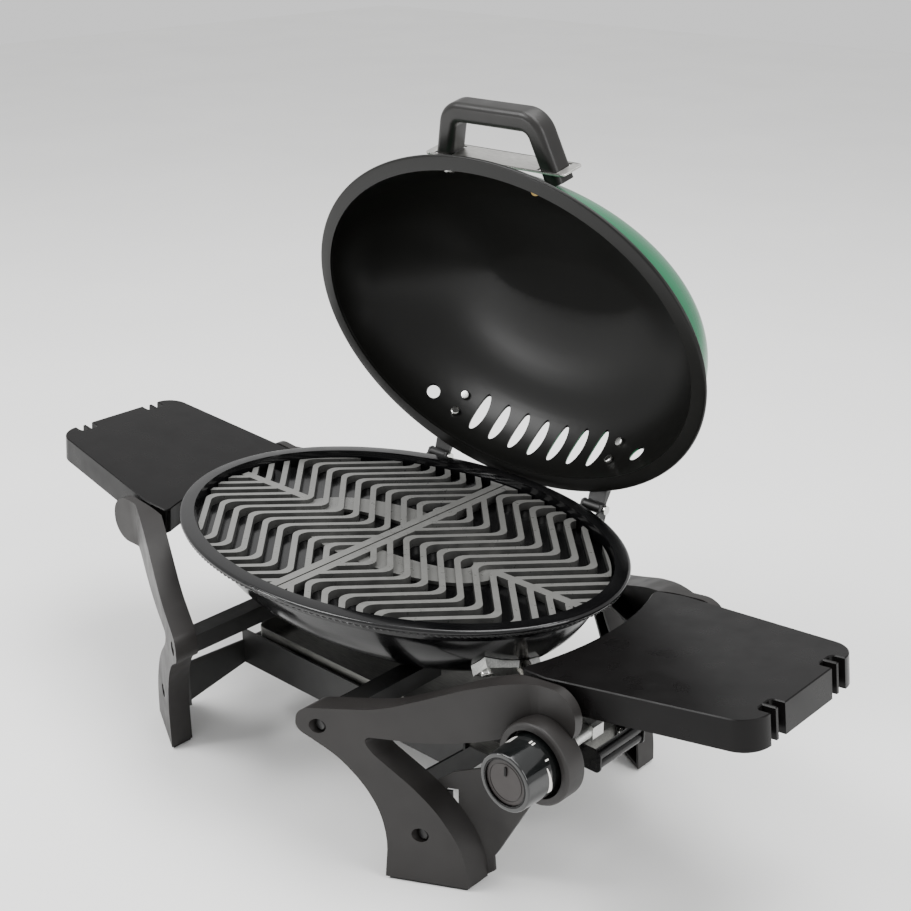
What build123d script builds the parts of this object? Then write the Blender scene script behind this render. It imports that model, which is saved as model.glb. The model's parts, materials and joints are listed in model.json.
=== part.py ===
from build123d import *
import math
import os

# Folding camp grill, millimetres. +Z up, front toward -Y, ground at z = 0.
# Dimensions below are measured from the bowl centre line; export() moves every
# piece by BOWL_Y so that the origin lies under the middle of the whole object.
BOWL_Y = -26.5

# bowl and lid
RIM_A, RIM_B, RIM_Z = 270.0, 194.0, 258.0
BEAD_R = 3.0
FLANGE_W = 14.0
SHEET = 1.5
LEDGE_Z = 240.5
BOWL_FLOOR_Z = 154.0
LID_Z = RIM_Z + 0.5
LID_OPEN = 77.5
HINGE_Y, HINGE_Z = 190.3, 252.9
HINGE_X = 115.0
DOME = [(15, 262), (17, 276), (22, 292), (31, 310), (45, 328), (64, 344), (88, 358), (116, 369),
        (142, 376), (166, 380)]
BOWL = [(25.5, 240.5), (28, 232), (34, 218), (44, 203), (58, 188), (78, 173), (100, 162), (125, 154)]

# legs
LEG_T = 28.0
LEG_WALL = 4.0
PIVOT_X, PIVOT_Z = 295.0, 209.0
PIVOT_PIN_R = 4.0
ARM_IN_Y, ARM_OUT_Y = 110.9, 121.0
LEG_BOLTS = [(108.8, 160.2), (196.3, 55.9)]
PAD_H = 3.0

# side tables, in their own frame: u outward from the pivot, w above the pivot
TABLE_TILT = 7.3
TABLE_TOP = 27.2
TABLE_H = 30.0
TABLE_WALL = 3.0

# gas control
KNOB_X, KNOB_Z = 306.0, 168.0
KNOB_FACE_Y, CUP_FRONT_Y, CUP_FLOOR_Y, PANEL_Y = -180.0, -142.0, -126.0, -118.2
KNOB_R, CUP_R = 28.0, 40.0

# grates
GRATE_TOP, GRATE_H, BAR_W, BAR_PITCH, BEND_R = 250.0, 9.2, 6.4, 24.0, 12.0
GRATE_A, GRATE_B = 250.5, 174.5

# chassis and grease tray
BEAM_X, BEAM_Y, BEAM_Z0, BEAM_Z1 = 168.0, 80.0, 65.0, 93.0
TRAY_X0, TRAY_X1, TRAY_Y, TRAY_Z0, TRAY_Z1 = -150.0, 276.0, 74.0, 96.0, 116.0
TRAY_GRIP_X = 296.0

os.makedirs("parts", exist_ok=True)


def export(name, solids):
    """Write one node, moved into the part frame, as a group of its solids."""
    solids = solids if isinstance(solids, list) else [solids]
    moved = [Pos(0, BOWL_Y, 0) * s for piece in solids for s in piece.solids()]
    shape = moved[0] if len(moved) == 1 else Compound(children=moved)
    shape.label = name
    export_step(shape, f"parts/{name}.step")
    print(f"{name}: {len(moved)} solid(s)")


def four(piece):
    """A piece built at +X, -Y repeated at all four corners."""
    right = [piece, mirror(piece, Plane.XZ)]
    return right + [mirror(p, Plane.YZ) for p in right]


def ellipse_loft(profile, grow=0.0, lift=0.0, a=RIM_A, b=RIM_B, ruled=False):
    """Solid through rim-parallel ellipses; profile is (inset from the rim, z)."""
    return loft([Pos(0, 0, z + lift) * Ellipse(a - o + grow, b - o + grow) for o, z in profile],
                ruled=ruled)


def ring(a, b, width, z0, z1):
    """Flat elliptical ring, outer semi-axes a and b."""
    return Pos(0, 0, z0) * extrude(Ellipse(a, b) - Ellipse(a - width, b - width), z1 - z0)


def bead(a, b, z, r):
    """Rolled rim: a round wire run round an ellipse."""
    path = Pos(0, 0, z) * Edge.make_ellipse(a, b)
    section = Plane(origin=path @ 0, z_dir=path % 0) * Circle(r)
    return sweep(section, path=path)


def rod(start, end, r):
    """Straight round bar between two points."""
    a, b = Vector(*start), Vector(*end)
    return Plane(origin=a, z_dir=b - a) * Cylinder(r, (b - a).length,
                                                   align=(Align.CENTER, Align.CENTER, Align.MIN))


def block(x0, x1, y0, y1, z0, z1):
    """Box from its limits."""
    return Pos(x0, y0, z0) * Box(x1 - x0, y1 - y0, z1 - z0, align=(Align.MIN,) * 3)


def bolt(x, y, z, direction, head_r=6.0, head_h=4.0, shank_r=3.0, shank=12.0):
    """Domed-head bolt; direction points from the head out into the open."""
    body = Cylinder(head_r, head_h, align=(Align.CENTER, Align.CENTER, Align.MIN))
    body = fillet(body.edges().group_by(Axis.Z)[-1], head_h * 0.45)
    body += Cylinder(shank_r, shank, align=(Align.CENTER, Align.CENTER, Align.MAX))
    return Plane(origin=(x, y, z), z_dir=direction) * body


def yz_plate(points, x0, x1):
    """Plate with its outline drawn in Y and Z, spanning x0 to x1."""
    face = Plane.YZ * make_face(Polyline(*points, close=True))
    return Pos(x0, 0, 0) * extrude(face, x1 - x0, dir=(1, 0, 0))


def rounded_outline(points, caps):
    """Closed outline whose bends are the widest arcs that fit, except where caps gives a radius."""
    radii = []
    for i, p in enumerate(points):
        before = Vector(*points[i - 1]) - Vector(*p)
        after = Vector(*points[(i + 1) % len(points)]) - Vector(*p)
        turn = math.radians(180 - before.get_angle(after))
        room = 0.47 * min(before.length, after.length)
        radii.append(caps.get(p, min(room / math.tan(turn / 2), 140)))
    return make_face(FilletPolyline(*points, radius=radii, close=True))


def on_wall(profile, x, side, z):
    """Point and outward normal on a lofted wall at x and z, on the side +1 (back) or -1 (front)."""
    def depth(px, pz):
        (o1, z1), (o2, z2) = next(
            (p, q) for p, q in zip(profile, profile[1:]) if min(p[1], q[1]) <= pz <= max(p[1], q[1]))
        o = o1 + (o2 - o1) * (pz - z1) / (z2 - z1)
        return (RIM_B - o) * math.sqrt(1 - (px / (RIM_A - o)) ** 2)
    y = depth(x, z)
    slope_x, slope_z = (depth(x + 0.5, z) - y) / 0.5, (depth(x, z + 0.5) - y) / 0.5
    return Vector(x, side * y, z), Vector(-slope_x, side, -slope_z).normalized()


# ---------------------------------------------------------------- bowl
bowl_outer = ellipse_loft(BOWL)
bowl_inner = ellipse_loft(BOWL, grow=-SHEET, lift=SHEET)
wall = [(FLANGE_W, RIM_Z), (16.5, LEDGE_Z - SHEET)]
wall_outer = ellipse_loft(wall, ruled=True)
wall_inner = ellipse_loft([(FLANGE_W + SHEET, RIM_Z + 0.01), (16.5 + SHEET, LEDGE_Z)], ruled=True)
feed_a, feed_b = (302.0, -83.5, 169.5), (150.0, -14.0, 202.0)

bowl = (wall_outer - wall_inner) + (bowl_outer - bowl_inner - block(-300, 300, -200, 200, 240.5, 260))
bowl += ring(RIM_A - 17.0, RIM_B - 17.0, 10.0, LEDGE_Z - SHEET, LEDGE_Z)
bowl += ring(RIM_A - BEAD_R, RIM_B - BEAD_R, 13.0, RIM_Z - SHEET, RIM_Z)
bowl += bead(RIM_A - BEAD_R, RIM_B - BEAD_R, RIM_Z - BEAD_R, BEAD_R)
bowl -= rod(feed_a, feed_b, 10.0)
bowl -= Pos(0, 0, BOWL_FLOOR_Z) * Cylinder(12.0, 20.0)

keepout = ellipse_loft(BOWL, grow=0.3, lift=-0.3) + ellipse_loft(wall, grow=0.3, ruled=True)

# ---------------------------------------------------------------- legs
leg_points = [(91, 177), (162, 186), (197, 202), (233, 219), (268, 232), (336, 240), (336, 183.5),
              (285, 183), (254, 170), (226, 162), (194, 157), (147, 155.5), (154, 140.5), (190, 108),
              (211, 84), (230, 50), (237, 24), (238, PAD_H), (165.5, PAD_H), (168, 44), (162, 76),
              (148, 104), (126.5, 130), (103, 146), (89, 155)]
leg_caps = {(336, 240): 25.4, (336, 183.5): 25.4, (238, PAD_H): 0, (165.5, PAD_H): 0}
leg_face = rounded_outline(leg_points, leg_caps)


def plan_band(front, back, y_in):
    """Leg shape seen from above: a slanted band that turns parallel to X at the arm end."""
    def at(x, shift):
        return -218.5 + 0.527 * (x - 108.8) + shift
    x_front = 108.8 + (218.5 - ARM_OUT_Y) / 0.527
    x_back = 108.8 + (218.5 - y_in - back) / 0.527
    points = [(60, at(60, front)), (x_front, at(x_front, front)), (340, at(x_front, front)),
              (340, -y_in), (x_back, -y_in), (60, at(60, back))]
    return Pos(0, 0, -5) * extrude(make_face(Polyline(*points, close=True)), 300)


def prism(face):
    """XZ outline run along Y over the depth of a leg."""
    return Pos(0, -40, 0) * extrude(Plane.XZ * face, 240)


leg = prism(leg_face) & plan_band(0, LEG_T, ARM_IN_Y)
hollow = prism(offset(leg_face, -LEG_WALL)) & plan_band(LEG_WALL, LEG_T + 30, 80)
for bx, bz in LEG_BOLTS:
    hollow -= rod((bx, -260, bz), (bx, -60, bz), 11.0)
hollow -= rod((PIVOT_X, -200, PIVOT_Z), (PIVOT_X, -60, PIVOT_Z), 10.0)
leg -= hollow
leg -= rod((PIVOT_X, -118, PIVOT_Z), (PIVOT_X, -60, PIVOT_Z), PIVOT_PIN_R)
leg_bolts = []
for bx, bz in LEG_BOLTS:
    y = -218.5 + 0.527 * (bx - 108.8)
    leg -= rod((bx, y - 20, bz), (bx, y + 7, bz), 7.5)
    leg -= rod((bx, y, bz), (bx, -60, bz), 3.2)
    leg_bolts.append(bolt(bx, y + 6.9, bz, (0, -1, 0), 5.8, 3.6, 3.0, LEG_T + 2))
legs = four(leg)
for corner, shape in zip(["front_right", "back_right", "front_left", "back_left"], legs):
    export(f"leg_{corner}", shape)
export("leg_bolts", [p for b in leg_bolts for p in four(b)])

pad = prism(Pos(201.7, PAD_H / 2) * Rectangle(68, PAD_H)) & plan_band(2, LEG_T - 2, ARM_IN_Y)
export("foot_pads", four(pad))

# ---------------------------------------------------------------- chassis
side = [(-BEAM_Y, BEAM_Z0), (-158, 50), (-158, 97), (-BEAM_Y, BEAM_Z1)]
tab_plane = Plane(origin=(187, -218.5 + 0.527 * (187 - 108.8) + LEG_T, 68), x_dir=(1, 0.527, 0),
                  z_dir=(-0.527, 1, 0))
corner = yz_plate(side, BEAM_X - 2.5, BEAM_X) + tab_plane * Pos(0, 0, 1.3) * Box(46, 50, 2.5)
corner -= rod((196.3, -180, 55.9), (196.3, -120, 55.9), 3.2)
beam = block(-BEAM_X, BEAM_X, -BEAM_Y, -BEAM_Y + 2.5, BEAM_Z0, BEAM_Z1)
beam += block(-BEAM_X, BEAM_X, -BEAM_Y, -BEAM_Y + 14, BEAM_Z1 - 2.5, BEAM_Z1)
beam += block(-BEAM_X, BEAM_X, -BEAM_Y, -BEAM_Y + 2.5, BEAM_Z1, BEAM_Z1 + 14)
tie = block(-BEAM_X, -BEAM_X + 2.5, -BEAM_Y, BEAM_Y, BEAM_Z0, BEAM_Z1)
tie += block(BEAM_X - 2.5, BEAM_X, -BEAM_Y, BEAM_Y, BEAM_Z0, BEAM_Z1 - 2.5)
chassis = beam + mirror(beam, Plane.XZ) + tie
for piece in four(corner):
    chassis += piece
export("chassis_frame", chassis)

link = block(98, 120, -205, -60, 151, 170) - block(100, 118, -180, -50, 153, 168) - keepout
link = link.solids().sort_by(SortBy.VOLUME)[-1]
link -= plan_band(-30, LEG_T + 0.05, 80) + rod((108.8, -205, 160.2), (108.8, -170, 160.2), 3.2)
export("bowl_brackets", four(link))

# ---------------------------------------------------------------- grease tray
tray = block(TRAY_X0, TRAY_X1, -TRAY_Y, TRAY_Y, TRAY_Z0, TRAY_Z1)
tray = fillet(tray.edges().filter_by(Axis.Z), 12)
inside = offset(tray, -1.2)
tray -= inside + inside.moved(Location((0, 0, 1.3)))
tray += block(TRAY_X1 - 1.2, TRAY_X1, -40, 40, TRAY_Z1 - 3, TRAY_Z1 + 6)
grip = rod((TRAY_GRIP_X, -33.8, 111), (TRAY_GRIP_X, 33.8, 111), 5.6)
grip += rod((TRAY_GRIP_X, -33.8, 121), (TRAY_GRIP_X, 33.8, 121), 5.6)
for y in (-36, 33.8):
    plate = block(TRAY_X1 + 1, TRAY_GRIP_X + 7, y, y + 2.2, 104, 128)
    grip += fillet(plate.edges().filter_by(Axis.Y).group_by(Axis.X)[-1], 6)
for y in (-36, 24):
    grip += block(TRAY_X1, TRAY_X1 + 2, y, y + 12, 104, 119)
rivets = [bolt(TRAY_X1 + 2, y, 112, (1, 0, 0), 3.2, 1.6, 1.6, 5.0) for y in (-29, 29)]
for y in (-29, 29):
    hole = rod((TRAY_X1 - 5, y, 112), (TRAY_X1 + 5, y, 112), 1.7)
    tray -= hole
    grip -= hole
export("grease_tray", tray)
export("tray_handle", grip)
export("tray_rivets", rivets)

# ---------------------------------------------------------------- burner and gas control
loop = Pos(0, 0, 207) * SlotOverall(300, 150).wire()
burner = sweep(Plane(origin=loop @ 0, z_dir=loop % 0) * Circle(8), path=loop)
burner += rod((150, -40, 207), (150, 40, 207), 6)
burner += rod(feed_a, feed_b, 8.0)
valve = rod((KNOB_X, -113.0, KNOB_Z), (KNOB_X, -94, KNOB_Z), 5.0)
valve += rod((KNOB_X, -96, KNOB_Z), (KNOB_X, -66, KNOB_Z), 8.0)
valve += rod((KNOB_X, -92, KNOB_Z), (KNOB_X, -87, KNOB_Z), 9.5)
valve -= rod(feed_a, feed_b, 8.3)
valve = valve.solids().sort_by(SortBy.VOLUME)[-1]
inlet = block(KNOB_X - 9, KNOB_X + 9, -65.9, -50, KNOB_Z - 9, KNOB_Z + 9)
inlet = chamfer(inlet.edges().filter_by(Axis.Y), 3) - rod((KNOB_X, -61, KNOB_Z), (KNOB_X, -45, KNOB_Z), 4.5)
seat, normal = on_wall([(o + 0.2, z) for o, z in BOWL], 199, -1, 190.5)
flange_plane = Plane(origin=seat, x_dir=(0, 1, 0), z_dir=normal)
flange = flange_plane * Pos(-2, 0, 0) * Box(66, 24, 16) - keepout - rod(feed_a, feed_b, 8.4)
flange = flange.solids().sort_by(Axis.X)[-1]
flange_bolts = []
for along in (-28, 24):
    spot = flange_plane * Pos(along, 0, 8)
    hole = spot * Cylinder(3.2, 80)
    flange -= hole
    bowl -= hole
    flange_bolts.append(spot * bolt(0, 0, 0, (0, 0, 1), 5.5, 4.0, 3.0, 11))
export("burner", burner)
export("gas_valve", valve)
export("gas_inlet", inlet)
export("burner_flange", flange)
export("burner_bolts", flange_bolts)
export("bowl", bowl)

panel_points = [(212, 5), (212, 96), (188, 96), (196, 105), (208, 115), (246, 128), (264, 142), (268, 160),
                (296, 176), (322, 176), (328, 150), (304, 120), (285, 103), (243, 26), (244, 10), (238, 5)]
back = -218.5 + LEG_T + 0.1
panel_plan = [(150, back + 0.527 * 41.2), (245.9, PANEL_Y + 0.1), (350, PANEL_Y + 0.1), (350, PANEL_Y + 3.6),
              (246.9, PANEL_Y + 3.6), (150, back + 0.527 * 41.2 + 4)]
panel = prism(make_face(Polyline(*panel_points, close=True)))
panel = panel & extrude(make_face(Polyline(*panel_plan, close=True)), 260)
panel -= prism(offset(leg_face, 0.4)) & plan_band(-2, LEG_T, ARM_IN_Y)
panel = panel.solids().sort_by(SortBy.VOLUME)[-1]
panel -= rod((KNOB_X, -130, KNOB_Z), (KNOB_X, -100, KNOB_Z), 9.0)
export("control_panel", panel)
bezel = rod((KNOB_X, CUP_FRONT_Y, KNOB_Z), (KNOB_X, PANEL_Y, KNOB_Z), CUP_R)
bezel = fillet(bezel.edges().group_by(Axis.Y)[0], 3.0)
bezel -= rod((KNOB_X, CUP_FRONT_Y - 5, KNOB_Z), (KNOB_X, CUP_FLOOR_Y, KNOB_Z), 32.5)
bezel -= rod((KNOB_X, -150, KNOB_Z), (KNOB_X, -100, KNOB_Z), 9.0)
bezel -= prism(offset(leg_face, 0.4)) & plan_band(-0.4, LEG_T, ARM_IN_Y)
bezel = bezel.solids().sort_by(SortBy.VOLUME)[-1]
export("knob_bezel", bezel)

knob_front = Plane(origin=(KNOB_X, KNOB_FACE_Y, KNOB_Z), x_dir=(1, 0, 0), z_dir=(0, -1, 0))
depth = CUP_FLOOR_Y - 5.5 - KNOB_FACE_Y
knob = knob_front * Pos(0, 0, -depth / 2) * Cone(KNOB_R + 2.0, KNOB_R, depth)
knob = fillet(knob.edges().group_by(Axis.Y)[0], 1.5)
knob -= knob_front * Pos(0, 0, -1.5) * Cylinder(24.0, 6.0)
knob += rod((KNOB_X, CUP_FLOOR_Y - 8, KNOB_Z), (KNOB_X, -113.3, KNOB_Z), 7.0)
face = knob_front * Pos(0, 0, -3.2) * Cylinder(21.8, 2.5)
face -= knob_front * Pos(0, 0, -1.9) * (Cylinder(18.6, 1.2) - Cylinder(17.6, 3))
trim = knob_front * Pos(0, 0, -2.1) * (Cylinder(23.8, 4.6) - Cylinder(22.1, 6))
pointer = knob_front * Pos(0, 11, -1.2) * Box(2.2, 9, 1.4)
export("knob", knob)
export("knob_face", face)
export("knob_trim_ring", trim)
export("knob_pointer", pointer)

# ---------------------------------------------------------------- grates
rows = [(190, 42), (148, 0), (75, 72), (0, 0), (-68, 68), (-138, 0), (-190, 52)]


def zigzag(x0):
    """One cast bar with rounded bends, seen from above."""
    hx = BAR_W / 2 * math.sqrt(2)
    left = [(x0 + dx - hx, y) for y, dx in rows]
    right = [(x0 + dx + hx, y) for y, dx in reversed(rows)]
    bends = [0] + [BEND_R] * (len(rows) - 2) + [0]
    return make_face(FilletPolyline(*left, *right, radius=bends * 2, close=True))


half = Pos(GRATE_A / 2, 0) * Rectangle(GRATE_A - 2, 2 * GRATE_B)
bars = Pos(6, 0) * Rectangle(10, 350)
bars += Pos(190, 0) * Rectangle(110, 10)
for k in range(-4, 11):
    bars += zigzag(14 + k * BAR_PITCH)
bars = bars & half & Ellipse(GRATE_A, GRATE_B)
grate = Pos(0, 0, GRATE_TOP - GRATE_H) * extrude(bars, GRATE_H)
web = (Ellipse(140, 68) - Ellipse(105, 32)) & half
grate += Pos(0, 0, GRATE_TOP - GRATE_H) * extrude(web, 4)
grate = grate.solids().sort_by(SortBy.VOLUME)[-1]
export("grate_right", grate)
export("grate_left", mirror(grate, Plane.YZ))

# ---------------------------------------------------------------- side tables
u_tip, u_end, v_root, v_end = -31.0, 201.0, 108.2, 86.0
plan = make_face(Curve([
    ThreePointArc((u_tip, 97), (-12, 0), (u_tip, -97)),
    Line((u_tip, -97), (u_tip, -104.5)), Line((u_tip, -104.5), (0, -v_root)),
    Line((0, -v_root), (u_end, -v_end)), Line((u_end, -v_end), (u_end, v_end)),
    Line((u_end, v_end), (0, v_root)), Line((0, v_root), (u_tip, 104.5)),
    Line((u_tip, 104.5), (u_tip, 97))]).edges())
plan = fillet(plan.vertices().group_by(Axis.X)[-1], 26)
plan = fillet(plan.vertices().group_by(Axis.X)[0], 3)
for v in (-50, 50):
    notch = Pos(u_end - 6, v) * RectangleRounded(16, 23, 5) + Pos(u_end, v) * Rectangle(12, 23)
    plan -= notch
    plan += Pos(u_end - 8, v) * Rectangle(14, 3.4)
table = Pos(0, 0, TABLE_TOP - TABLE_H) * extrude(plan, TABLE_H)
inside = offset(plan, -TABLE_WALL)
table = chamfer(table.edges().group_by(Axis.Z)[-1], 1.0)
table -= Pos(0, 0, TABLE_TOP - TABLE_H - 1) * extrude(inside, TABLE_H - TABLE_WALL + 1)
for v in (-1, 1):
    lug = rod((0, v * 99, 0), (0, v * v_root, 0), 9.0) + block(-9, 9, *sorted((v * 99, v * v_root)), 0, 26)
    table += lug
    table -= rod((0, v * 90, 0), (0, v * 112, 0), PIVOT_PIN_R + 0.05)
table_right = Pos(PIVOT_X, 0, PIVOT_Z) * (Rot(0, -TABLE_TILT, 0) * table)
pins = [rod((PIVOT_X, v * 96, PIVOT_Z), (PIVOT_X, v * 117.9, PIVOT_Z), PIVOT_PIN_R) for v in (-1, 1)]
export("table_right", table_right)
export("table_left", mirror(table_right, Plane.YZ))
export("table_pins_right", pins)
export("table_pins_left", [mirror(p, Plane.YZ) for p in pins])

# ---------------------------------------------------------------- lid (built closed, shown open)
hinge_axis = Axis((0, HINGE_Y, HINGE_Z), (1, 0, 0))


def opened(piece):
    """Turn a piece of the closed lid back to its open stop."""
    return piece.rotate(hinge_axis, -LID_OPEN)


dome = ellipse_loft(DOME) - ellipse_loft(DOME, grow=-SHEET, lift=-SHEET) - \
    block(-300, 300, -200, 200, 250, 262.01)
dome += ring(RIM_A - 2.5, RIM_B - 2.5, 14.0, LID_Z, LID_Z + SHEET)
dome += ellipse_loft([(14, LID_Z), (15, 263)], ruled=True) - \
    ellipse_loft([(14 + SHEET, LID_Z - 0.01), (15 + SHEET, 263.01)], ruled=True)
dome += bead(RIM_A - 2.5, RIM_B - 2.5, LID_Z + 2.5, 2.5)
for k in range(-3, 4):
    vent = Pos(k * 29, 120, 303) * (Rot(90, 0, 0) * extrude(Ellipse(7, 21), 80, both=True))
    dome -= vent
for x in (-150, 150):
    dome -= rod((x, 60, 293), (x, 200, 293), 8.0)

lid_keepout = ellipse_loft(DOME, grow=0.3) + ring(RIM_A, RIM_B, 20, LID_Z - 0.3, 264)
leaves, leaf_bolts, brackets, hinge_pins = [], [], [], []
for sx in (-1, 1):
    x = sx * HINGE_X
    plate = yz_plate([(188, 257), (194, 257), (166, 284), (152, 322), (138, 322), (150, 283), (160, 272)],
                     x - 11, x + 11)
    leaf = plate + rod((x - 11, HINGE_Y, HINGE_Z), (x + 11, HINGE_Y, HINGE_Z), 6.0) - lid_keepout
    leaf -= rod((x - 20, HINGE_Y, HINGE_Z), (x + 20, HINGE_Y, HINGE_Z), 3.05)
    leaf = leaf.solids().sort_by(SortBy.VOLUME)[-1]
    for z in (290.0, 312.0):
        spot, out = on_wall(DOME, x, 1, z)
        hole = rod(spot - out * 12, spot + out * 30, 3.2)
        dome -= hole
        leaf -= hole
        leaf_bolts.append(bolt(*(spot - out * (SHEET + 1.0)), tuple(out * -1), 5.5, 3.6, 3.0, 16))
    leaves.append(leaf)
    cheeks = [(HINGE_Y - 6.5, HINGE_Z), (HINGE_Y - 3, HINGE_Z + 6), (HINGE_Y + 3, HINGE_Z + 6),
              (HINGE_Y + 6.5, HINGE_Z), (HINGE_Y - 2, HINGE_Z - 26), (140, 205), (140, 236)]
    outer = yz_plate(cheeks, x - 14.5, x + 14.5)
    outer -= yz_plate([(166, 290), (210, 290), (210, 200), (166, 200)], x - 11.3, x + 11.3)
    outer = outer - keepout - ring(RIM_A + 0.3, RIM_B + 0.3, 20, RIM_Z - 6.3, RIM_Z + 1)
    outer -= rod((x - 20, HINGE_Y, HINGE_Z), (x + 20, HINGE_Y, HINGE_Z), 3.0)
    brackets.append(outer.solids().sort_by(SortBy.VOLUME)[-1])
    pin = rod((x - 16, HINGE_Y, HINGE_Z), (x + 16, HINGE_Y, HINGE_Z), 3.0)
    pin += rod((x + 16, HINGE_Y, HINGE_Z), (x + 18, HINGE_Y, HINGE_Z), 5.0)
    hinge_pins.append(pin)
export("hinge_brackets", brackets)
export("hinge_pins", hinge_pins)

handle_z, foot_x, grip_x, reach = 306.0, 76.0, 56.0, -224.0
path = FilletPolyline((foot_x, -161, handle_z), (grip_x, reach, handle_z), (-grip_x, reach, handle_z),
                      (-foot_x, -161, handle_z), radius=20)
handle_x = foot_x - (foot_x - grip_x) * 15 / 63
section = Plane(origin=path @ 0, x_dir=(1, 0, 0), z_dir=path % 0)
handle = sweep(section * RectangleRounded(22, 27, 7), path=path) - lid_keepout
handle = handle.solids().sort_by(SortBy.VOLUME)[-1]
guard = Pos(0, -176, handle_z) * Box(190, 2, 34)
guard = fillet(guard.edges().filter_by(Axis.Y), 6)
spots = []
for sx in (-1, 1):
    guard -= Pos(sx * handle_x, -176, handle_z) * Box(25, 10, 27.6)
    spot, out = on_wall(DOME, sx * handle_x, -1, 301.0)
    hole = rod(spot - out * 10, spot + out * 16, 3.2)
    dome -= hole
    handle -= hole
    spots.append((spot - out * (SHEET + 1.0), out * -1))
handle_bolt = bolt(*spots[0][0], tuple(spots[0][1]), 6.0, 5.0, 3.0, 16)
wing = Plane(origin=spots[1][0], z_dir=spots[1][1], x_dir=(0.8, 0, 0.6))
wing_nut = Cylinder(6.5, 7, align=(Align.CENTER, Align.CENTER, Align.MIN))
for sx in (-1, 1):
    ear = fillet(Box(17, 3, 11).edges().filter_by(Axis.Y), 4.5)
    wing_nut += Pos(sx * 12, 0, 7.5) * (Rot(0, -sx * 28, 0) * ear)
wing_nut += Cylinder(3.0, 16, align=(Align.CENTER, Align.CENTER, Align.MAX))
export("lid_shell", opened(dome))
export("lid_handle", opened(handle))
export("lid_handle_bolt", opened(handle_bolt))
export("lid_wing_nut", opened(wing * wing_nut))
export("lid_heat_guard", [opened(s) for s in guard.solids()])
export("lid_hinge_leaves", [opened(s) for s in leaves])
export("lid_hinge_bolts", [opened(s) for s in leaf_bolts])
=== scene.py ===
# %% [markdown]
# # A folding camp grill
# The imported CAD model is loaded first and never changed. Every finish and every
# small piece below is placed from its nodes and joints, so nothing has to be fitted
# by eye. Lengths are metres; MM turns a maker's millimetres into them.

# %% Load the frame
import json
import math
import bmesh
import bpy
from mathutils import Matrix, Vector


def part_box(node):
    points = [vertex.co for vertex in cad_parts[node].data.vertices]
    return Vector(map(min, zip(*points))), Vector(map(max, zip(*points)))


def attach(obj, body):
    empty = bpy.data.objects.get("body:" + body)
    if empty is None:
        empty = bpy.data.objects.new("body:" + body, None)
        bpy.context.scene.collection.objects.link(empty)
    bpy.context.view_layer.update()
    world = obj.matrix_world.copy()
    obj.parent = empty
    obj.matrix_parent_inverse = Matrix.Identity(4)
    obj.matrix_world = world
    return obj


MM = 0.001
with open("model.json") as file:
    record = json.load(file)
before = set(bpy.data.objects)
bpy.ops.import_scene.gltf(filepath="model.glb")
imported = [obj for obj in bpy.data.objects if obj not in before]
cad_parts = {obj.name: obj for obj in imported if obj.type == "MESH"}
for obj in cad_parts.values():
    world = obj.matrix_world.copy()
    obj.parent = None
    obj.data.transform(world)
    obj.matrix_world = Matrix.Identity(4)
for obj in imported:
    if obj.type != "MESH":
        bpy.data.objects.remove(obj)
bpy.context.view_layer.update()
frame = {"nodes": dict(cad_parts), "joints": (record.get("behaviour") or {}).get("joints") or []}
nodes = frame["nodes"]
joints = {j["name"]: j for j in frame["joints"]}
print("nodes:", len(nodes), "joints:", sorted(joints))

# %% [markdown]
# ## Colours and nodes
# Colours are written the way a paint chart gives them, as sRGB hex. The renderer
# works in linear light, so one function converts them. One more helper adds a
# shader node, sets it up and wires it, which keeps each finish short to read.

# %% Colour and node helpers
def linear(hex_code):
    """sRGB hex to a linear RGBA colour."""
    parts = [int(hex_code[i:i + 2], 16) / 255 for i in (1, 3, 5)]
    return tuple(c / 12.92 if c <= 0.04045 else ((c + 0.055) / 1.055) ** 2.4 for c in parts) + (1,)


def add_node(tree, kind, settings=None, **inputs):
    """Add one node. An input is a value, or a socket to link from; A_B is the input 'A B', _0 the first."""
    node = tree.nodes.new(kind)
    for name, value in (settings or {}).items():
        setattr(node, name, value)
    for name, value in inputs.items():
        key = int(name[1:]) if name[1:].isdigit() else name.replace("_", " ")
        if isinstance(value, bpy.types.NodeSocket):
            tree.links.new(value, node.inputs[key])
        else:
            node.inputs[key].default_value = value
    return node


def finish(name, **shader_values):
    """A new material: returns it, its tree, its shader and the object's own coordinates."""
    material = bpy.data.materials.new(name)
    material.use_nodes = True
    tree = material.node_tree
    shader = tree.nodes["Principled BSDF"]
    for key, value in shader_values.items():
        shader.inputs[key.replace("_", " ")].default_value = value
    return material, tree, shader, add_node(tree, "ShaderNodeTexCoord").outputs["Object"]


print("white is", linear("#ffffff"))

# %% [markdown]
# ## A skin for a surface
# Real surfaces are never one flat value. Each skin here mixes three noises: a mottle
# that moves the colour between two shades, a slower wear that moves the roughness,
# and a fine relief that tilts the light. Their sizes are stated in millimetres. The
# stretch draws mottle and relief out along X, as brushing or drawing does.

# %% Skin
FAINT, STRONG = 0.3, 0.7  # the part of a noise's range that most of its values fall in


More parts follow.
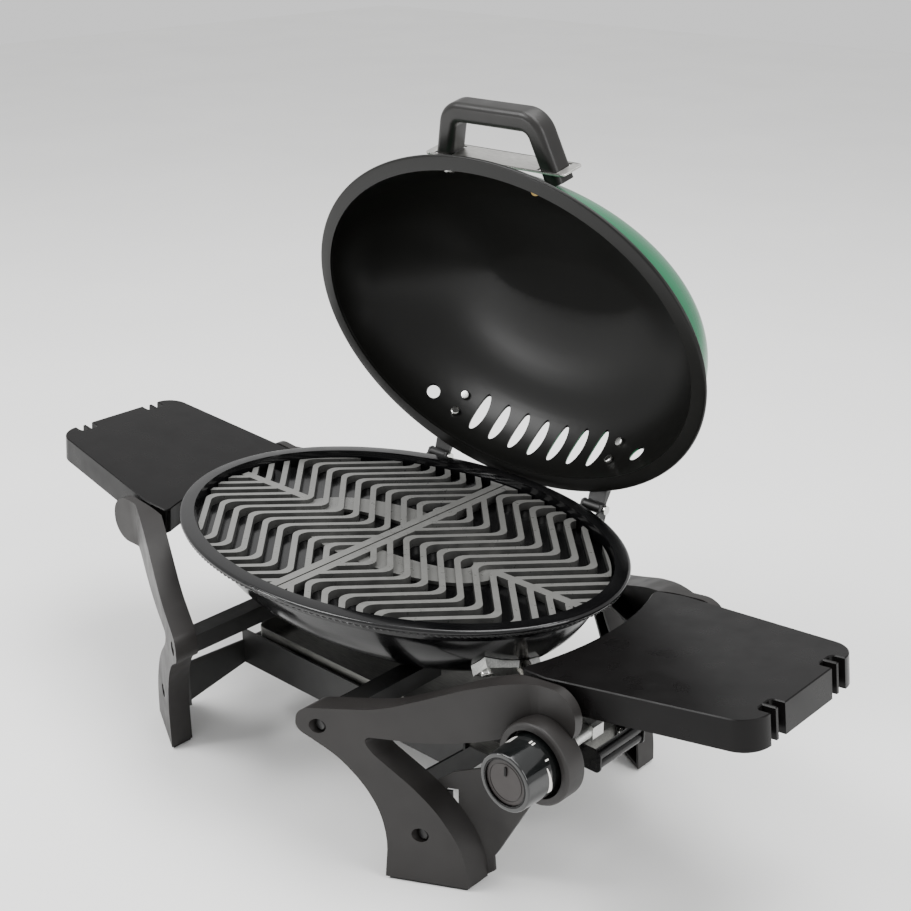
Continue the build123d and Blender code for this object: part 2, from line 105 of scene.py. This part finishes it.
def skin(tree, shader, where, shades, rough, sizes_mm, depth_mm, strength,
         details=(2, 2, 2), stretch=(1, 1, 1)):
    """Wire colour, roughness and relief; sizes_mm and details are for mottle, wear and relief."""
    along = add_node(tree, "ShaderNodeMapping", Vector=where, Scale=stretch).outputs["Vector"]
    mottle, wear, relief = (
        add_node(tree, "ShaderNodeTexNoise", Vector=place, Scale=1 / (size * MM),
                 Detail=detail).outputs["Fac"]
        for place, size, detail in zip((along, where, along), sizes_mm, details))
    ramp = add_node(tree, "ShaderNodeValToRGB", Fac=mottle)
    for stop, position, shade in zip(ramp.color_ramp.elements, (FAINT, STRONG), shades):
        stop.position, stop.color = position, linear(shade)
    span = add_node(tree, "ShaderNodeMapRange", Value=wear, From_Min=FAINT, From_Max=STRONG,
                    To_Min=rough[0], To_Max=rough[1])
    tilt = add_node(tree, "ShaderNodeBump", Height=relief, Strength=strength, Distance=depth_mm * MM)
    tree.links.new(ramp.outputs["Color"], shader.inputs["Base Color"])
    tree.links.new(span.outputs["Result"], shader.inputs["Roughness"])
    tree.links.new(tilt.outputs["Normal"], shader.inputs["Normal"])
    return ramp.outputs["Color"]


print("skin: colour, roughness and relief, each from its own noise")

# %% [markdown]
# ## Vitreous enamel on the bowl
# The bowl is pressed steel with black glass fused onto it. Fired enamel is glossy,
# with a faint orange-peel ripple a few millimetres across, so reflections wobble
# slightly. A thin clear coat on the shader gives the glass its second, sharper gloss.

# %% Black enamel
# vitreous enamel: deep black with a wet shine
bowl_finish, tree, shader, where = finish("vitreous enamel black", IOR=1.45, Specular_IOR_Level=0.4,
                                          Coat_Weight=0.15, Coat_Roughness=0.05)
skin(tree, shader, where, ("#040405", "#09090a"), (0.13, 0.24), (40, 60, 7), 0.12, 0.25)
print("bowl:", bowl_finish.name)

# %% [markdown]
# ## Enamel on the lid
# The lid is one sheet with green glass outside and satin black inside, and its rolled
# edge is black. A point is outside where the sheet faces away from a centre low in
# the rim's plane, and where it stands above the rolled edge. The centre is worked out
# for the closed lid and turned about the hinge to the open stop it is drawn in.

# %% Green and black enamel
HINGE_BACK = 0.1903  # from the bowl's middle to the hinge line
RIM_ABOVE_HINGE = 0.0056
CENTRE_DROP = 0.02  # the centre sits this far under the rim's plane
EDGE_TOP = 25.6 * MM  # top of the rolled edge above that centre

hinge_point = Vector(joints["lid_hinge"]["pos_m"])
lid_turn = Matrix.Rotation(math.radians(joints["lid_hinge"]["range_deg"][0]), 3, "X")
bowl_y = hinge_point.y - HINGE_BACK
closed_centre = Vector((0, bowl_y, hinge_point.z + RIM_ABOVE_HINGE - CENTRE_DROP))
lid_centre = hinge_point + lid_turn @ (closed_centre - hinge_point)
lid_up = lid_turn @ Vector((0, 0, 1))


def lid_enamel():
    """Green outside above the rolled edge, satin black elsewhere."""
    material, tree, shader, where = finish("vitreous enamel green and black", IOR=1.45,
                                           Specular_IOR_Level=0.3)
    normal = add_node(tree, "ShaderNodeTexCoord").outputs["Normal"]
    reach = add_node(tree, "ShaderNodeVectorMath", {"operation": "SUBTRACT"}, _0=where,
                     _1=lid_centre).outputs[0]
    tests = []
    for direction, limit in ((normal, 0.0), (lid_up, EDGE_TOP)):
        along = add_node(tree, "ShaderNodeVectorMath", {"operation": "DOT_PRODUCT"}, _0=reach, _1=direction)
        tests.append(add_node(tree, "ShaderNodeMath", {"operation": "GREATER_THAN"},
                              _0=along.outputs["Value"], _1=limit).outputs[0])
    outside = add_node(tree, "ShaderNodeMath", {"operation": "MULTIPLY"}, _0=tests[0],
                       _1=tests[1]).outputs[0]
    cloud, ripple = (add_node(tree, "ShaderNodeTexNoise", Vector=where, Scale=1 / (size * MM),
                              Detail=2).outputs["Fac"] for size in (55, 6))
    black, green = (add_node(tree, "ShaderNodeMix", {"data_type": "RGBA"}, Factor=cloud, A=linear(low),
                             B=linear(high)).outputs["Result"]
                    for low, high in (("#0b0b0a", "#11110f"), ("#065233", "#0a603d")))
    both = add_node(tree, "ShaderNodeMix", {"data_type": "RGBA"}, Factor=outside, A=black, B=green)
    rough = add_node(tree, "ShaderNodeMapRange", Value=outside, To_Min=0.33, To_Max=0.26)
    tilt = add_node(tree, "ShaderNodeBump", Height=ripple, Strength=0.2, Distance=0.1 * MM)
    tree.links.new(both.outputs["Result"], shader.inputs["Base Color"])
    tree.links.new(rough.outputs["Result"], shader.inputs["Roughness"])
    tree.links.new(tilt.outputs["Normal"], shader.inputs["Normal"])
    return material


lid_finish = lid_enamel()
print("lid:", lid_finish.name, "about", tuple(round(c, 3) for c in lid_centre))

# %% [markdown]
# ## Moulded nylon, phenolic and rubber
# Legs, tables, cup and handle are moulded. The mould is spark-eroded, so the skin has
# a pebble of about half a millimetre that spreads highlights into a satin sheen. It
# is drawn at 1 mm, as fine as can show here. A skin's mirror is how strongly it
# reflects: carbon black and a smoother mould make it weaker.

# %% Moulded skins
def moulded(name, shades, roughness, pebble_mm=1.0, depth_mm=0.05, mirror=0.4):
    """Material for a moulded part."""
    material, tree, shader, where = finish(name, IOR=1.45, Specular_IOR_Level=mirror)
    skin(tree, shader, where, shades, (roughness - 0.05, roughness + 0.07), (70, 25, pebble_mm),
         depth_mm, 0.35, details=(2, 2, 1))
    return material


# glass filled nylon: dark grey, dull and slightly warm
leg_finish = moulded("glass filled nylon dark grey", ("#1d1b1a", "#242221"), 0.44)
# the same nylon with more carbon black, in a smoother mould: near black with a low shine
table_finish = moulded("glass filled nylon near black", ("#0b0a0a", "#100f0f"), 0.3, mirror=0.16)
# phenolic stays cool near heat, and polishes a little where it is held
handle_finish = moulded("moulded phenolic dark grey", ("#181716", "#1f1e1d"), 0.36)
# nylon insert: the flat, slightly brown face of the knob
knob_face_finish = moulded("knob face nylon", ("#2c2928", "#332f2e"), 0.5)
# rubber hardly shines at all
pad_finish = moulded("moulded rubber", ("#0e0e0e", "#161616"), 0.75, 1.5, 0.1)
# enamelled bar: black with a soft bright line along its top edges
bar_finish = moulded("satin black enamel", ("#0a0a0a", "#111111"), 0.25, 3.0, 0.02)
# pad-printed ink: opaque white, smoother than the plastic under it
mark_finish = moulded("white pad print", ("#dedcd6", "#ebe9e4"), 0.35, 1.0, 0.01)
print("moulded:", leg_finish.name, "/", table_finish.name)

# %% [markdown]
# ## Gloss phenolic on the knob
# The knob's barrel comes from a polished mould, so it has no pebble, only the slow
# waviness that shrinking leaves, which bends the lamps' reflections a little.

# %% Knob barrel
# gloss phenolic: black, with crisp reflections
knob_finish, tree, shader, where = finish("gloss phenolic black", IOR=1.5, Coat_Weight=0.3,
                                          Coat_Roughness=0.03)
skin(tree, shader, where, ("#0a0b0b", "#131515"), (0.08, 0.16), (30, 12, 9), 0.02, 0.15)
print("knob:", knob_finish.name)

# %% [markdown]
# ## Cast iron
# The grates are sand cast and coated. Sand leaves a grain of about a millimetre, drawn
# a little coarser here, and the coating pools between grains. A face that looks up is
# blended toward a lighter grey, a painted highlight on the tops of the bars.

# %% Grates
# coated cast iron: grey, grainy and satin, with the tops lightened as a painted highlight
iron_finish, tree, shader, where = finish("coated cast iron", Metallic=0.4)
coated = skin(tree, shader, where, ("#464645", "#5a5a58"), (0.26, 0.42), (18, 8, 1.6), 0.25, 0.45,
              details=(4, 3, 3))
# painted highlight: faces that look up are blended toward a light grey
normal = add_node(tree, "ShaderNodeTexCoord").outputs["Normal"]
facing = add_node(tree, "ShaderNodeSeparateXYZ", Vector=normal)
painted_top_highlight = add_node(tree, "ShaderNodeMapRange", Value=facing.outputs["Z"], From_Min=0.7, From_Max=1.0,
                To_Max=0.65)
top = add_node(tree, "ShaderNodeMix", {"data_type": "RGBA"}, Factor=painted_top_highlight.outputs["Result"], A=coated,
               B=linear("#8b8b88"))
tree.links.new(top.outputs["Result"], shader.inputs["Base Color"])
print("grates:", iron_finish.name)

# %% [markdown]
# ## Metals
# Each metal keeps the marks of how it was made: tube and sheet are brushed along their
# length, castings are mottled, plating is nearly clean. The lines are really about a
# tenth of a millimetre, and are drawn at about 1 mm so that they show at all.

# %% Metals
ALONG_TUBE, ALONG_SHEET = (0.1, 1, 1), (0.08, 1, 1)


def metal(name, shades, rough, line_mm=0.8, stretch=(1, 1, 1)):
    """Material for a bare or plated metal part."""
    material, tree, shader, where = finish(name, Metallic=1.0)
    skin(tree, shader, where, shades, rough, (line_mm, 10, line_mm), 0.02, 0.3, stretch=stretch)
    return material


# zinc plate: bright and a little blue-white
bolt_finish = metal("zinc plated steel", ("#b9b9b6", "#d8d8d4"), (0.16, 0.3))
# brass: a warm glint inside the dark lid
brass_finish = metal("plain brass", ("#a98a4c", "#cbb177"), (0.2, 0.35))
# drawn stainless: long soft highlights along the tube
burner_finish = metal("drawn stainless tube", ("#a9a6a0", "#cfccc6"), (0.2, 0.34), 1.0, ALONG_TUBE)
# die casting: pale grey, slightly clouded
valve_finish = metal("die cast zinc alloy", ("#a9aaa8", "#c7c8c5"), (0.28, 0.42), 1.5)
# aluminised sheet: mid grey and dull
drawer_finish = metal("aluminised sheet steel", ("#5d5d5b", "#72726e"), (0.34, 0.48), 1.2, ALONG_SHEET)
# rolled strip: bright, brushed from side to side
guard_finish = metal("rolled stainless strip", ("#b5b4b0", "#d2d1cd"), (0.28, 0.4), 0.8, ALONG_TUBE)
# black chrome: only its edges catch the light
trim_finish = metal("black chrome plating", ("#1d1d1d", "#303030"), (0.22, 0.32))
print("metals:", bolt_finish.name, "/", burner_finish.name)

# %% [markdown]
# ## Powder coat on the steelwork
# The frame, brackets and hinges are bent sheet under baked powder. The powder melts
# into a skin with a fine bumpy texture, so it shines evenly but never sharply.

# %% Powder coat
# powder coat: even satin black with a grain of about 2 mm
paint_finish, tree, shader, where = finish("powder coat black", IOR=1.5)
skin(tree, shader, where, ("#0a0a0a", "#121211"), (0.38, 0.52), (50, 20, 1.8), 0.08, 0.4, details=(2, 2, 1))
print("steelwork:", paint_finish.name)

# %% [markdown]
# ## Which node wears which finish
# Every CAD node is listed under the finish it has on the real grill, grouped by what
# the part is made of, so a part that was forgotten shows up as a missing name.

# %% Finishes for every CAD node
wearers = {
    bowl_finish: ["bowl"],
    lid_finish: ["lid_shell"],
    paint_finish: ["chassis_frame", "bowl_brackets", "hinge_brackets", "lid_hinge_leaves", "leg_bolts"],
    bolt_finish: ["burner_bolts", "lid_hinge_bolts", "lid_handle_bolt", "tray_rivets", "hinge_pins",
                  "table_pins_left", "table_pins_right"],
    leg_finish: ["leg_front_left", "leg_front_right", "leg_back_left", "leg_back_right",
                 "control_panel", "knob_bezel"],
    table_finish: ["table_left", "table_right", "knob_pointer"],
    pad_finish: ["foot_pads"],
    burner_finish: ["burner"],
    valve_finish: ["gas_valve", "gas_inlet", "burner_flange"],
    handle_finish: ["lid_handle"],
    brass_finish: ["lid_wing_nut"],
    guard_finish: ["lid_heat_guard"],
    knob_finish: ["knob"],
    knob_face_finish: ["knob_face"],
    trim_finish: ["knob_trim_ring"],
    drawer_finish: ["grease_tray"],
    bar_finish: ["tray_handle"],
    iron_finish: ["grate_left", "grate_right"],
}
finish_of = {name: material for material, names in wearers.items() for name in names}
print(len(finish_of), "nodes have a finish; without one:", sorted(set(nodes) - set(finish_of)))

# %% [markdown]
# ## Shading and edges
# CAD meshes arrive as triangles, split along every seam between faces. The seams are
# joined on a scratch copy to find the true corners, and only those are marked sharp.
# A weld and a narrow bevel then let moulded and cast edges catch the light. All of
# this leaves the CAD's own vertices where they are. Thin shells, the knob and the
# tube have rounded edges in the CAD already, so they get no bevel.

# %% Corners, weld and bevel
CORNER = math.radians(32)
BEVEL_FROM = math.radians(40)
SEAM_GAP, WELD_GAP = 0.004 * MM, 0.01 * MM
KEYS_PER_METRE = 1e5
LEG_EDGE, TABLE_EDGE, GRATE_EDGE, CUP_EDGE, OTHER_EDGE = 1.4, 1.6, 1.3, 0.8, 0.4
edge_mm = dict.fromkeys(("bowl", "lid_shell", "knob", "burner"), 0)
edge_mm.update(table_left=TABLE_EDGE, table_right=TABLE_EDGE, grate_left=GRATE_EDGE,
               grate_right=GRATE_EDGE, knob_bezel=CUP_EDGE, leg_front_left=LEG_EDGE,
               leg_front_right=LEG_EDGE, leg_back_left=LEG_EDGE, leg_back_right=LEG_EDGE)


def edge_key(a, b):
    """The same key for an edge wherever its two ends meet, to a hundredth of a millimetre."""
    return frozenset(tuple(round(c * KEYS_PER_METRE) for c in end) for end in (a, b))


def mark_corners(data):
    """Mark the joined mesh's corners as sharp, and count them."""
    joined = bmesh.new()
    joined.from_mesh(data)
    bmesh.ops.remove_doubles(joined, verts=joined.verts, dist=SEAM_GAP)
    corners = {edge_key(e.verts[0].co, e.verts[1].co) for e in joined.edges
               if len(e.link_faces) == 2 and e.calc_face_angle() > CORNER}
    joined.free()
    for edge in data.edges:
        ends = (data.vertices[i].co for i in edge.vertices)
        edge.use_edge_sharp = edge_key(*ends) in corners
    return len(corners)


def dress(name, node):
    """Give a CAD node its finish, smooth shading and a fine rounded edge."""
    data = node.data
    data.materials.clear()
    data.materials.append(finish_of[name])
    if "custom_normal" in data.attributes:
        data.attributes.remove(data.attributes["custom_normal"])
    data.shade_smooth()
    corners = mark_corners(data)
    node.modifiers.new("weld", "WELD").merge_threshold = WELD_GAP
    width = edge_mm.get(name, OTHER_EDGE)
    if width:
        edge = node.modifiers.new("edge", "BEVEL")
        edge.width, edge.segments, edge.limit_method = width * MM, 2, "ANGLE"
        edge.angle_limit, edge.harden_normals = BEVEL_FROM, True
    return corners


corner_count = sum(dress(name, node) for name, node in nodes.items())
print("dressed", len(nodes), "CAD nodes with", corner_count, "corner edges")

# %% [markdown]
# ## Adding a piece
# The small pieces below are built vertex by vertex. Each is then linked to the scene,
# given its finish and put on the body it moves with.

# %% Piece helpers
def mesh_object(name, mesh, material):
    """Turn a finished bmesh into an object in the scene."""
    data = bpy.data.meshes.new(name)
    mesh.to_mesh(data)
    mesh.free()
    data.materials.append(material)
    made = bpy.data.objects.new(name, data)
    bpy.context.scene.collection.objects.link(made)
    return made


# %% [markdown]
# ## Marks on the knob
# The barrel carries a printed wedge that widens as it goes round, three lines and
# three short ticks. They are thin patches laid just proud of the cone, because
# printed ink has a real edge. Angles run from the top toward the right.

# %% Knob marks
FACE_RADIUS = 28 * MM
BARREL_GROWTH = 2.0 / 48.5  # the barrel widens by this much per length going back
INK_LIFT, INK_THICK = 0.15 * MM, 0.12 * MM
knob_low, knob_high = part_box("knob")
knob_centre = (knob_low + knob_high) / 2


def barrel_mark(name, body, angles, depths_mm, steps=2):
    """Patch on the barrel; depths_mm(t) gives its start and end behind the knob's face."""
    mesh = bmesh.new()
    rows = []
    for i in range(steps + 1):
        t = i / steps
        angle = math.radians(angles[0] + (angles[1] - angles[0]) * t)
        row = []
        for back in (depth * MM for depth in depths_mm(t)):
            radius = FACE_RADIUS + back * BARREL_GROWTH + INK_LIFT
            row.append(mesh.verts.new((knob_centre.x + radius * math.sin(angle), knob_low.y + back,
                                       knob_centre.z + radius * math.cos(angle))))
        rows.append(row)
    for one, two in zip(rows, rows[1:]):
        mesh.faces.new((one[0], one[1], two[1], two[0]))
    piece = mesh_object(name, mesh, mark_finish)
    ink = piece.modifiers.new("ink", "SOLIDIFY")
    ink.thickness, ink.offset = INK_THICK, 0
    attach(piece, body)


barrel_mark("knob_wedge", "gas_knob", (62, 112), lambda t: (26, 26.8 + 4.6 * t), steps=24)
for i, angle in enumerate((-38, -33, -28)):
    barrel_mark(f"knob_line_{i}", "gas_knob", (angle - 1, angle + 1), lambda t: (22, 33))
for i, angle in enumerate((8, 14, 50)):
    barrel_mark(f"knob_tick_{i}", "gas_knob", (angle - 1.4, angle + 1.4), lambda t: (28, 32))
print("knob marks round", tuple(round(c, 3) for c in knob_centre))

# %% [markdown]
# ## The crimped rim
# The bowl's rim is rolled over a wire and then nipped under by a toothed wheel, which
# leaves a fine scalloped line below the bead. It is a closed tube run round the rim
# ellipse, its radius rising and falling once for each tooth.

# %% Crimp line under the bead
CRIMP_A, CRIMP_B, CRIMP_Z = 267.2 * MM, 191.2 * MM, 251.6 * MM
CRIMP_RADIUS, CRIMP_WAVE = 1.3 * MM, 0.5 * MM
TEETH, STEPS_PER_TOOTH, SIDES = 230, 6, 8


def crimp_loops(mesh):
    """Rings of vertices round the ellipse, swelling once per tooth."""
    for i in range(TEETH * STEPS_PER_TOOTH):
        angle = 2 * math.pi * i / (TEETH * STEPS_PER_TOOTH)
        out = Vector((math.cos(angle) * CRIMP_B, math.sin(angle) * CRIMP_A, 0)).normalized()
        centre = Vector((CRIMP_A * math.cos(angle), CRIMP_B * math.sin(angle) + bowl_y, CRIMP_Z))
        radius = CRIMP_RADIUS + CRIMP_WAVE * math.cos(2 * math.pi * i / STEPS_PER_TOOTH)
        turns = (2 * math.pi * k / SIDES for k in range(SIDES))
        yield [mesh.verts.new(centre + (out * math.cos(t) + Vector((0, 0, 1)) * math.sin(t)) * radius)
               for t in turns]


def crimp(name, body, material):
    """Closed tube round the rim."""
    mesh = bmesh.new()
    loops = list(crimp_loops(mesh))
    for one, two in zip(loops, loops[1:] + loops[:1]):
        for k in range(SIDES):
            mesh.faces.new((one[k], two[k], two[(k + 1) % SIDES], one[(k + 1) % SIDES]))
    bmesh.ops.recalc_face_normals(mesh, faces=mesh.faces)
    piece = mesh_object(name, mesh, material)
    piece.data.shade_smooth()
    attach(piece, body)


crimp("bowl_crimp", "base", bowl_finish)
print("crimped rim with", TEETH, "teeth")

# %% [markdown]
# ## Lamps
# As in a product studio, large soft lamps give wide, gentle highlights: a key from
# the upper left, one from the right side and one from above. A small one, low on the
# left, puts a glint inside the lid.

# %% Lamps
def area_light(name, place, target, size, power):
    """Rectangular lamp aimed at a point."""
    data = bpy.data.lights.new(name, "AREA")
    data.shape, data.size, data.size_y, data.energy = "RECTANGLE", size[0], size[1], power
    lamp = bpy.data.objects.new(name, data)
    lamp.location = place
    lamp.rotation_euler = (Vector(target) - Vector(place)).to_track_quat("-Z", "Y").to_euler()
    bpy.context.scene.collection.objects.link(lamp)


GRILL_MIDDLE, LID_INSIDE = (0, 0, 0.3), (0.05, 0.28, 0.42)
area_light("key", (-1.3, -1.5, 2.6), GRILL_MIDDLE, (1.4, 1.4), 75)
area_light("side", (2.5, 0.2, 1.6), GRILL_MIDDLE, (1.0, 1.6), 40)
area_light("top", (0.2, 0.5, 2.8), GRILL_MIDDLE, (2.2, 1.4), 70)
area_light("glint", (-0.8, -1.2, 0.4), LID_INSIDE, (0.2, 0.16), 4)
print("lamps:", len(bpy.data.lights))

# %% [markdown]
# ## Floor and surroundings
# The grill stands on plain pale paper, wide enough to fill the view, in an even white
# room. The paper's shade drifts very slightly, as a real roll's does.

# %% Floor and world
PAPER_HALF_WIDTH = 6
mesh = bmesh.new()
bmesh.ops.create_grid(mesh, x_segments=2, y_segments=2, size=PAPER_HALF_WIDTH)
# seamless paper: matt white, clouded over 400 mm
paper, tree, shader, where = finish("seamless paper", Roughness=0.9)
cloud = add_node(tree, "ShaderNodeTexNoise", Vector=where, Scale=1 / (400 * MM)).outputs["Fac"]
ramp = add_node(tree, "ShaderNodeValToRGB", Fac=cloud)
for stop, position, shade in zip(ramp.color_ramp.elements, (FAINT, STRONG), ("#f4f4f3", "#f8f8f7")):
    stop.position, stop.color = position, linear(shade)
tree.links.new(ramp.outputs["Color"], shader.inputs["Base Color"])
floor = mesh_object("floor", mesh, paper)

world = bpy.data.worlds.new("studio")
bpy.context.scene.world = world
world.use_nodes = True
room = world.node_tree.nodes["Background"]
room.inputs["Color"].default_value = linear("#ffffff")
room.inputs["Strength"].default_value = 0.95
print("floor of", 2 * PAPER_HALF_WIDTH, "m, room at", room.inputs["Strength"].default_value)

# %% [markdown]
# ## Camera
# The camera stands to the right and in front, above the rim, so the bars, the inside
# of the lid and the knob all show. Its long lens keeps the near leg from looming.

# %% Camera
CAMERA_X, CAMERA_Y, CAMERA_Z = 1.0225, -1.0275, 0.9203  # from the bowl's middle
CAMERA_TILT, CAMERA_TURN = 68.1, 42.4
camera_data = bpy.data.cameras.new("camera")
camera_data.lens, camera_data.sensor_width = 59.64, 36
camera = bpy.data.objects.new("camera", camera_data)
camera.location = (CAMERA_X, CAMERA_Y + bowl_y, CAMERA_Z)
camera.rotation_euler = (math.radians(CAMERA_TILT), 0, math.radians(CAMERA_TURN))
bpy.context.scene.collection.objects.link(camera)
bpy.context.scene.camera = camera
print("camera at", tuple(round(c, 3) for c in camera.location))
